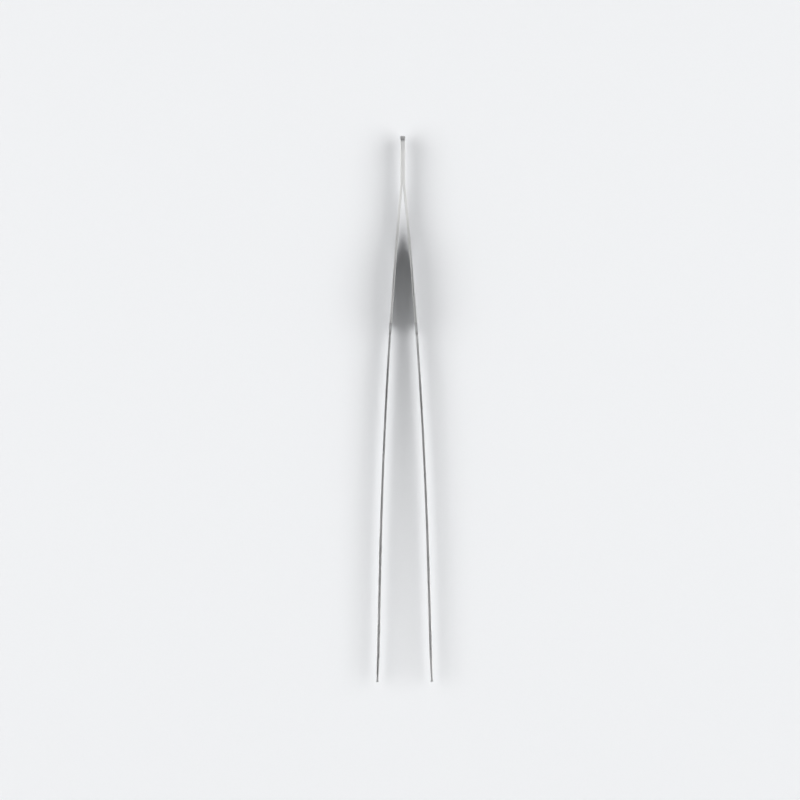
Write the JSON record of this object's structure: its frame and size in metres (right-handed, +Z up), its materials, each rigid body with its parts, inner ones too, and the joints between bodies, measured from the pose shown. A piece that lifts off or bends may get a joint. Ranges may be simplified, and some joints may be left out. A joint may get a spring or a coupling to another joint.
{
  "type": "aquascaping tweezers",
  "caption": "Long straight fine-tip tweezers of spring steel, welded at the tail, with grooved grip plates and serrated tips that close when squeezed.",
  "frame": {"origin": "in the plane of the grip plates' lower edges, halfway along the tool and midway between its arms", "axes": "+Y along the tool towards its welded tail, +X across the gap towards the right arm, +Z up, along the width of the arms"},
  "size_m": [0.0268, 0.255, 0.0144],
  "materials": {
    "spring_steel": "satin, grain along the arm, brighter polished edges",
    "weld_steel": "ground weld metal, slightly heat-tinted"
  },
  "bodies": {
    "tail": {"left_tail_flat": "spring_steel", "right_tail_flat": "spring_steel", "spot_welds": "weld_steel", "end_weld": "weld_steel", "left_spring_neck": "spring_steel", "right_spring_neck": "spring_steel"},
    "left_arm": {"left_arm": "spring_steel"},
    "right_arm": {"right_arm": "spring_steel"}
  },
  "joints": [
    {"name": "left_flex", "type": "hinge", "parent": "tail", "child": "left_arm", "pos_m": [-0.00164, 0.0938, 0.0072], "axis": [0, 0, 1], "range_deg": [0, 3.12], "stiffness_Nm_per_rad": 2, "deforming": ["left_spring_neck"]},
    {"name": "right_flex", "type": "hinge", "parent": "tail", "child": "right_arm", "pos_m": [0.00164, 0.0938, 0.0072], "axis": [0, 0, -1], "range_deg": [0, 3.12], "stiffness_Nm_per_rad": 2, "deforming": ["right_spring_neck"]}
  ],
  "couplings": [
    {"joint": "right_flex", "follows": "left_flex", "ratio": 1}
  ]
}
